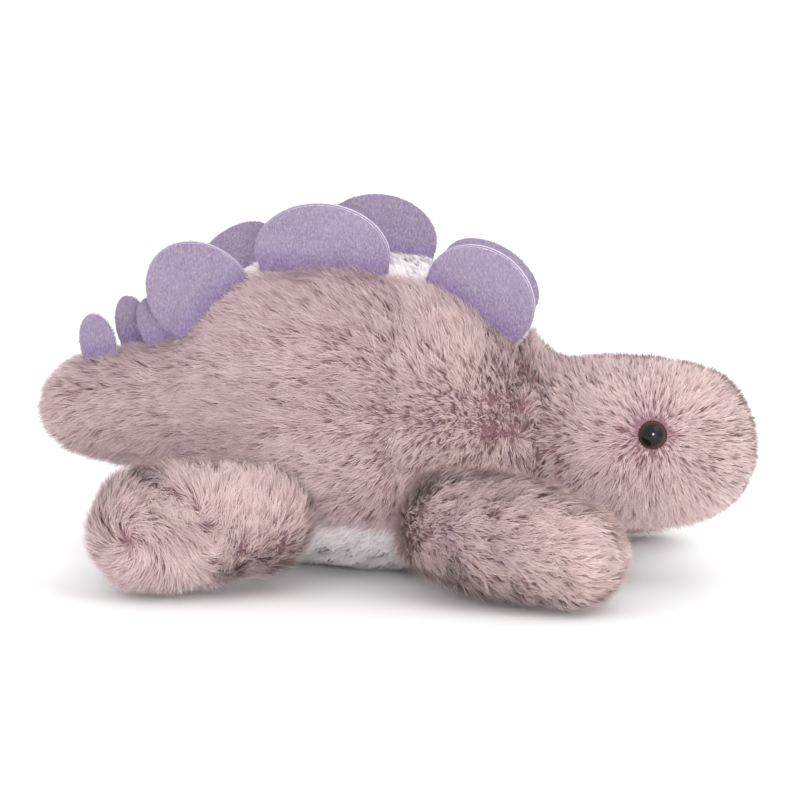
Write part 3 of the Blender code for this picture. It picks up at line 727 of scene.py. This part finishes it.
cells = 1 - plush_cells("strip") - plush_cells("belly")
cells[:2] = cells[-2:] = 0
place, normal = scatter(SKIN, SKIN_NORMAL, cells, LOCKS * QUALITY)
keep = (eye_distance(place) > EYE_CLEAR) | (np.abs(place[:, 1]) < 20)
for name in LEG_NAMES:
    keep &= leg_distance(place, name, LONG_INSET)[0] > 0.5
place, normal = place[keep], normal[keep]
fur = Fur(place, normal, *body_comb(place, normal), strands=STRANDS, spread=SPREAD, width=WIDTH)
home = np.repeat(place, STRANDS, axis=0)
x, y = home[:, 0], home[:, 1]
for name, wanted, slot, end in (
    ("tail_fur", x < TAIL_X, "long_pile", "rear"),
    ("rear_body_fur_right", (x >= TAIL_X) & (x < SEAM_X) & (y < 0), "long_pile", "rear"),
    ("rear_body_fur_left", (x >= TAIL_X) & (x < SEAM_X) & (y >= 0), "long_pile", "rear"),
    ("front_body_fur_right", (x >= SEAM_X) & (x < NECK_X) & (y < 0), "long_pile", "front"),
    ("front_body_fur_left", (x >= SEAM_X) & (x < NECK_X) & (y >= 0), "long_pile", "front"),
    ("head_fur_right", (x >= NECK_X) & (y < 0), "peach_pile", "front"),
    ("head_fur_left", (x >= NECK_X) & (y >= 0), "peach_pile", "front"),
):
    obj = fur.piece(name, wanted, FUR)
    bend(obj, end)

# Fur on the legs
for name in LEG_NAMES:
    grid = LEG_SKINS[name]
    cells = np.ones((len(grid) - 1, grid.shape[1]))
    place, normal = scatter(grid, grid_normals(grid), cells, LOCKS * QUALITY)
    keep = spine_share(place) > UNDER_SKIN
    place, normal = place[keep], normal[keep]
    comb = leg_comb(place, normal, name)
    leg_fur = Fur(place, normal, *comb, strands=STRANDS, spread=SPREAD, width=WIDTH)
    obj = leg_fur.piece(name + "_fur", np.ones(len(leg_fur.path), bool), FUR)
    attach(obj, name)

# Short plush on the back strip and the belly
for part in ("strip", "belly"):
    place, normal = scatter(SKIN, SKIN_NORMAL, plush_cells(part), PLUSH_LOCKS * QUALITY)
    comb = tangent_part(np.array([-1.0, 0, 0]) + 0.5 * drift(place, 20.0), normal)
    lean = np.clip(0.9 + 0.1 * drift(place + 5, 9.0)[:, 0], 0.2, 1.2)
    tone = 0.5 + 0.2 * drift(place, 15.0)[:, 1]
    plush = Fur(place, normal, comb, lean, np.full(len(place), PLUSH_PILE), tone,
                strands=PLUSH_STRANDS, spread=PLUSH_SPREAD, width=PLUSH_WIDTH, wild=0.3)
    x = np.repeat(place[:, 0], PLUSH_STRANDS)
    for end, wanted in (("rear", x < SEAM_X), ("front", x >= SEAM_X)):
        obj = plush.piece(f"{end}_{part}_plush", wanted, PLUSH)
        bend(obj, end)


# Felt plates and spikes


def felt_material():
    material, tree, shader = new_material("velour", 0.85, 0.4)
    rise = tree.nodes.new("ShaderNodeAttribute")
    rise.attribute_name = "rise"
    nap = noise(tree, 1400.0, 2.0, (1.0, 1.0, 0.45))
    cloud = noise(tree, 60.0, 3.0)
    body = ramp(tree, nap, [
        (0.32, srgb(124, 109, 133)), (0.52, srgb(143, 129, 152)), (0.72, srgb(168, 156, 175))])
    # Darker, more purple felt towards the plate's foot: painted shade where the pile meets the felt
    shaded_felt = ramp(tree, nap, [
        (0.32, srgb(112, 90, 132)), (0.52, srgb(132, 111, 150)), (0.72, srgb(152, 134, 168))])
    low = ramp(tree, rise.outputs["Fac"], [(0.0, (1, 1, 1)), (0.26, (0, 0, 0))])
    colour = blend_colour(tree, low, body, shaded_felt)
    shade = ramp(tree, cloud, [(0.3, (0.0, 0.0, 0.0)), (0.75, (0.35, 0.35, 0.35))])
    colour = blend_colour(tree, shade, colour, srgb(170, 157, 182))
    tree.links.new(colour, shader.inputs["Base Color"])
    bump = tree.nodes.new("ShaderNodeBump")
    bump.inputs["Strength"].default_value = 0.35
    bump.inputs["Distance"].default_value = 0.0004
    tree.links.new(nap, bump.inputs["Height"])
    tree.links.new(bump.outputs[0], shader.inputs["Normal"])
    return material


def edge_material():
    material, tree, shader = new_material("velour_cut_edge", 0.9, 0.2)
    colour = ramp(tree, noise(tree, 2200.0), [(0.3, srgb(206, 196, 222)), (0.7, srgb(246, 242, 250))])
    tree.links.new(colour, shader.inputs["Base Color"])
    return material


VELOUR, CUT_EDGE = felt_material(), edge_material()
NAP = fur_material(
    "velour_nap",
    [srgb(120, 100, 136), srgb(138, 118, 152), srgb(156, 138, 168), srgb(176, 162, 186)],
    [srgb(150, 132, 164), srgb(172, 156, 184), srgb(194, 182, 202), srgb(220, 212, 226)], 0.2)


def felt_corners(node):
    """The corners of a felt node, in mm."""
    mesh = frame["nodes"][node].data
    co = np.empty(len(mesh.vertices) * 3)
    mesh.vertices.foreach_get("co", co)
    return co.reshape(-1, 3) / MM


def felt_frame(joint, nodes):
    """The joint's place, then the piece's axes along, up and through, and its corners in them."""
    base = np.array(joint["pos_m"]) / MM
    along = unit(np.array(joint["axis"], float))
    if along[0] < 0:
        along = -along
    corners = np.vstack([felt_corners(node) for node in nodes]) - base
    middle = corners.mean(0)
    middle = middle - (middle @ along) * along
    up = unit(middle)
    through = np.cross(along, up)
    return base, along, up, through, corners @ np.stack([along, up, through], axis=1)


def outline_of(half, tall, widest, count=56):
    """An oval whose foot runs down into the pile."""
    rise = tall - widest
    dip = math.asin(widest / rise)
    angle = np.linspace(-dip, math.pi + dip, count)
    upper = np.stack([half * np.cos(angle), widest + rise * np.sin(angle)], 1)
    foot = np.array([[upper[-1, 0] * 0.97, -FELT_ROOT], [upper[0, 0] * 0.97, -FELT_ROOT]])
    return np.vstack([upper, foot])


def felt_layer(name, outline, place, low, high, tall):
    """One layer of felt between two depths, with its cut edge round it."""
    centre = np.array([0.0, tall * FELT_MIDDLE])
    count = len(outline)
    verts, rises = [], []
    for depth, rounded in ((low, mix(low, high, EDGE_ROUND)), (high, mix(high, low, EDGE_ROUND))):
        for k, s in enumerate(FELT_RINGS):
            flat = centre + (outline - centre) * s
            verts.append(place(flat, depth if k else rounded))
            rises.append(flat[:, 1] / tall)
        verts.append(place(centre[None], depth))
        rises.append(np.array([centre[1] / tall]))
    verts, rises = np.vstack(verts), np.concatenate(rises)
    stride = len(FELT_RINGS) * count + 1
    faces, marks = [], []
    for part in (0, 1):
        first = part * stride
        for k in range(len(FELT_RINGS) - 1):
            for a in range(count):
                b = (a + 1) % count
                quad = [first + k * count + a, first + k * count + b,
                        first + (k + 1) * count + b, first + (k + 1) * count + a]
                faces.append(quad if part else quad[::-1])
                marks.append(0)
        last, hub = first + (len(FELT_RINGS) - 1) * count, first + stride - 1
        for a in range(count):
            b = (a + 1) % count
            tri = [last + a, last + b, hub]
            faces.append(tri if part else tri[::-1])
            marks.append(0)
    for a in range(count):
        b = (a + 1) % count
        faces.append([a, b, stride + b, stride + a])
        marks.append(1)
    mesh = bpy.data.meshes.new(name)
    mesh.from_pydata((verts * MM).tolist(), [], faces)
    attribute = mesh.attributes.new("rise", "FLOAT", "POINT")
    attribute.data.foreach_set("value", rises.astype(np.float32))
    mesh.materials.append(VELOUR)
    mesh.materials.append(CUT_EDGE)
    mesh.polygons.foreach_set("material_index", np.array(marks, np.int32))
    bm = bmesh.new()
    bm.from_mesh(mesh)
    bmesh.ops.recalc_face_normals(bm, faces=bm.faces)
    bm.to_mesh(mesh)
    bm.free()
    mesh.shade_smooth()
    return mesh_object(name, mesh)


def nap_piece(name, outline, place, depth, tall, body, count):
    """The short nap that stands off a felt face and its edge."""
    centre = np.array([0.0, tall * FELT_MIDDLE])
    share = np.sqrt(DRAW.random(count))
    share[: count // 4] = DRAW.uniform(0.97, 1.0, count // 4)
    where = DRAW.random(count) * len(outline)
    k = where.astype(int) % len(outline)
    edge = mix(outline[k], outline[(k + 1) % len(outline)], (where % 1)[:, None])
    flat = centre + (edge - centre) * share[:, None]
    low, high = depth
    outer = DRAW.random(count) < 0.5
    level = np.where(outer, low, high)
    sign = np.where(outer, -1.0, 1.0) * (1 if high > low else -1)
    at = place(flat, level)
    normal = unit(place(flat, level + sign) - at)
    outward = place(flat + unit(edge - centre), level) - at
    rim = smooth(share, 0.93, 1.0)[:, None]
    comb = unit(np.array([-0.55, 0, -0.8]) + 0.3 * DRAW.normal(size=(count, 3)))
    direction = unit(mix(normal * 0.55 + comb * 0.8, outward * 1.2 + 0.3 * comb, rim))
    long = DRAW.uniform(0.5, 1.1, count)[:, None] * mix(1.0, 0.8, rim)
    path = np.stack([at, at + direction * long * 0.5, at + direction * long], axis=1)
    face = unit(np.cross(np.cross(direction, normal) + 1e-3, direction))
    # The tone falls towards the plate's foot, which is painted shade where the pile meets the felt; the rest of
    # the tone is random
    tone = 0.5 + 0.22 * DRAW.normal(size=count) + 0.3 * (smooth(flat[:, 1] / tall, 0.0, 0.4) - 0.7)
    width = np.full(count, NAP_WIDTH)
    obj = ribbons(name, path, face, unit(mix(face, normal, 0.6)), width, tone, NAP)
    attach(obj, body)


for joint in frame["joints"]:
    body = joint["child"]
    kind = body.split("_")[0]
    if kind not in ("plate", "spike"):
        continue
    nodes = frame["record"]["behaviour"]["bodies"][body]
    base, along, up, through, corners = felt_frame(joint, nodes)
    half, tall = np.abs(corners[:, 0]).max(), corners[:, 1].max()
    widest = corners[np.abs(corners[:, 0]).argmax(), 1]
    outline = outline_of(half, tall, max(widest, 0.0))
    outward = np.sign(base[1]) * np.sign(through[1])
    wave = DRAW.uniform(-0.6, 0.6)
    curl, strands = (PLATE_CURL, PLATE_NAP) if kind == "plate" else (SPIKE_CURL, SPIKE_NAP)

    def place(flat, depth):
        a, b = flat[:, 0], flat[:, 1]
        bow = curl * outward * (np.clip(b, 0, None) / tall) ** 2 + wave * (a / half) ** 2
        return base + a[:, None] * along + b[:, None] * up + (depth + bow)[:, None] * through

    centre = np.array([0.0, tall * FELT_MIDDLE])
    for node in nodes:
        levels = (felt_corners(node) - base) @ through
        shrink = LAYER_SHRINK if node.endswith("outer") else 1.0
        layer = centre + (outline - centre) * shrink
        obj = felt_layer(node + "_felt", layer, place, levels.min(), levels.max(), tall)
        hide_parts(node)
        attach(obj, body)
    depth = (corners[:, 2].min(), corners[:, 2].max())
    nap_piece(body + "_nap", outline, place, depth, tall, body, strands)


# Eyes


def eye_material():
    material, tree, shader = new_material("eye_gloss", 0.12)
    ring = tree.nodes.new("ShaderNodeAttribute")
    ring.attribute_name = "ring"
    colour = ramp(tree, ring.outputs["Fac"], [
        (0.0, srgb(6, 5, 7)), (0.68, srgb(8, 6, 7)), (0.75, srgb(46, 27, 20)), (0.93, srgb(66, 39, 27)),
        (1.0, srgb(30, 18, 15))])
    tree.links.new(colour, shader.inputs["Base Color"])
    shader.inputs["Specular IOR Level"].default_value = 0.0
    shader.inputs["Coat Weight"].default_value = 0.75
    shader.inputs["Coat Roughness"].default_value = 0.03
    return material


EYE = eye_material()
for side, sign in (("right", -1), ("left", 1)):
    flip = np.array([1, sign, 1])
    centre, out = EYE_PLACE * flip, EYE_OUT * flip
    first = unit(np.cross(out, UP))
    second = np.cross(out, first)
    profile = []
    for a in np.linspace(0, math.pi / 2, 18):
        profile.append((EYE_RADIUS * math.sin(a), EYE_HEIGHT * math.cos(a) - EYE_SINK))
    profile += [(EYE_RADIUS * share, height) for share, height in EYE_BACK]
    rings = []
    angle = np.linspace(0, 2 * math.pi, SPOKES + 1)[:-1]
    for radius, height in profile:
        spokes = np.cos(angle)[:, None] * first + np.sin(angle)[:, None] * second
        rings.append(centre + out * height + spokes * radius)
    grid = np.array(rings)[:, ::sign]
    obj = grid_piece(f"eye_dome_{side}", grid, (0, len(profile) - 1), list(range(SPOKES + 1)), EYE)
    attribute = obj.data.attributes.new("ring", "FLOAT", "POINT")
    co = np.array([v.co for v in obj.data.vertices]) / MM - centre
    flat = co - (co @ out)[:, None] * out
    share = np.linalg.norm(flat, axis=1) / EYE_RADIUS
    attribute.data.foreach_set("value", share.astype(np.float32))
    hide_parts(f"eye_{side}")
    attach(obj, "head")

# Hidden pieces keep their CAD shape and take plain paint
washer_paint, tree, shader = new_material("washer_plastic", 0.5)
colour = ramp(tree, noise(tree, 300.0), [(0.3, srgb(222, 222, 216)), (0.7, srgb(234, 234, 230))])
tree.links.new(colour, shader.inputs["Base Color"])
linen, tree, shader = new_material("bag_linen", 0.9)
colour = ramp(tree, noise(tree, 1500.0), [(0.3, srgb(196, 186, 166)), (0.7, srgb(220, 212, 194))])
tree.links.new(colour, shader.inputs["Base Color"])
for node, material in (("eye_washer_right", washer_paint), ("eye_washer_left", washer_paint),
                       ("pellet_bag", linen)):
    mesh = frame["nodes"][node].data
    mesh.materials.clear()
    mesh.materials.append(material)

# Stage, in metres and watts
FLOOR_HALF = 9
WORLD_STRENGTH = 1.08
LIGHTS_AIM = Vector((0, 0, 0.06))
CAMERA_AIM = Vector((0.0008, 0, 0.0709))
AZIMUTH, ELEVATION, DISTANCE = math.radians(10.8), math.radians(11.0), 6.0
FOCAL_LENGTH = 648.0

floor_mesh = bpy.data.meshes.new("floor")
floor_corners = [(x * FLOOR_HALF, y * FLOOR_HALF, 0) for x, y in ((-1, -1), (1, -1), (1, 1), (-1, 1))]
floor_mesh.from_pydata(floor_corners, [], [(0, 1, 2, 3)])
floor_paint, tree, shader = new_material("floor_paint", 0.9)
colour = ramp(tree, noise(tree, 3.0), [(0.3, srgb(249, 249, 250)), (0.7, srgb(251, 251, 252))])
tree.links.new(colour, shader.inputs["Base Color"])
floor_mesh.materials.append(floor_paint)
mesh_object("floor", floor_mesh)

world = bpy.data.worlds.new("studio")
bpy.context.scene.world = world
world.use_nodes = True
background = world.node_tree.nodes["Background"]
background.inputs[0].default_value = (1.0, 1.0, 1.0, 1)
background.inputs[1].default_value = WORLD_STRENGTH


def area_light(name, place, power, size):
    data = bpy.data.lights.new(name, "AREA")
    data.energy, data.size = power, size
    obj = bpy.data.objects.new(name, data)
    bpy.context.scene.collection.objects.link(obj)
    obj.location = place
    obj.rotation_euler = (LIGHTS_AIM - Vector(place)).to_track_quat("-Z", "Y").to_euler()


area_light("key", (0.7, -0.7, 1.1), 2.6, 0.9)
area_light("fill", (0.6, -1.5, 0.3), 1.5, 0.9)
area_light("rim", (0.1, 1.3, 1.1), 9.0, 1.0)
area_light("glint", (0.36, -1.5, 0.42), 7.5, 0.26)

camera_data = bpy.data.cameras.new("camera")
camera_data.lens = FOCAL_LENGTH
camera = bpy.data.objects.new("camera", camera_data)
bpy.context.scene.collection.objects.link(camera)
back = Vector((math.sin(AZIMUTH) * math.cos(ELEVATION), -math.cos(AZIMUTH) * math.cos(ELEVATION),
               math.sin(ELEVATION)))
camera.location = CAMERA_AIM + back * DISTANCE
camera.rotation_euler = back.to_track_quat("Z", "Y").to_euler()
bpy.context.scene.camera = camera
bpy.context.scene.view_settings.view_transform = "Standard"

bpy.context.view_layer.update()
